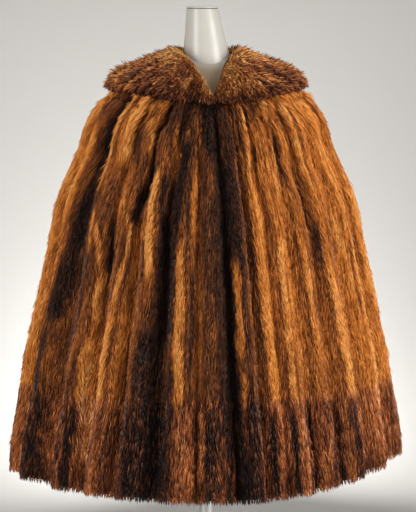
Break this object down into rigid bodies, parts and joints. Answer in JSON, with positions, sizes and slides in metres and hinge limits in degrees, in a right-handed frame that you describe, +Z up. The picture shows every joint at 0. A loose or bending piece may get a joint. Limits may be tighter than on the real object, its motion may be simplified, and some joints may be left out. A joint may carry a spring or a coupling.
{
  "type": "fur cape on a dress form",
  "caption": "Full-length brown mink cape with a shawl collar and a deep hem border, worn by a limbless dress form on a round stand.",
  "frame": {"origin": "middle of the stand's round base, on its underside", "axes": "+Z up through the pole to the neck, -Y towards the cape's front opening, +X towards the viewer's right"},
  "size_m": [0.8618, 0.7736, 1.4535],
  "materials": {
    "mink_body": "long glossy fur lying down, golden brown with dark brown stripes",
    "mink_border": "shaggy dark fur, rusty and blackish brown",
    "mink_collar": "shaggy reddish-brown fur with long guard hairs",
    "form_linen": "plain beige-grey linen drawn smooth over the form",
    "neck_gloss": "glossy off-white enamel",
    "neck_band": "dark joint under the cap",
    "stand_metal": "satin pale grey paint"
  },
  "bodies": {
    "root": {"cape_front_right": "mink_body", "cape_side_right": "mink_body", "cape_back": "mink_body", "cape_side_left": "mink_body", "cape_front_left": "mink_body", "border_front_right": "mink_border", "border_side_right": "mink_border", "border_back": "mink_border", "border_side_left": "mink_border", "border_front_left": "mink_border", "collar_right": "mink_collar", "collar_left": "mink_collar", "form_torso": "form_linen", "form_neck": "neck_gloss", "form_neck_band": "neck_band", "form_neck_cap": "neck_gloss", "stand_socket": "stand_metal", "stand_pole": "stand_metal", "stand_base": "stand_metal"}
  },
  "joints": []
}
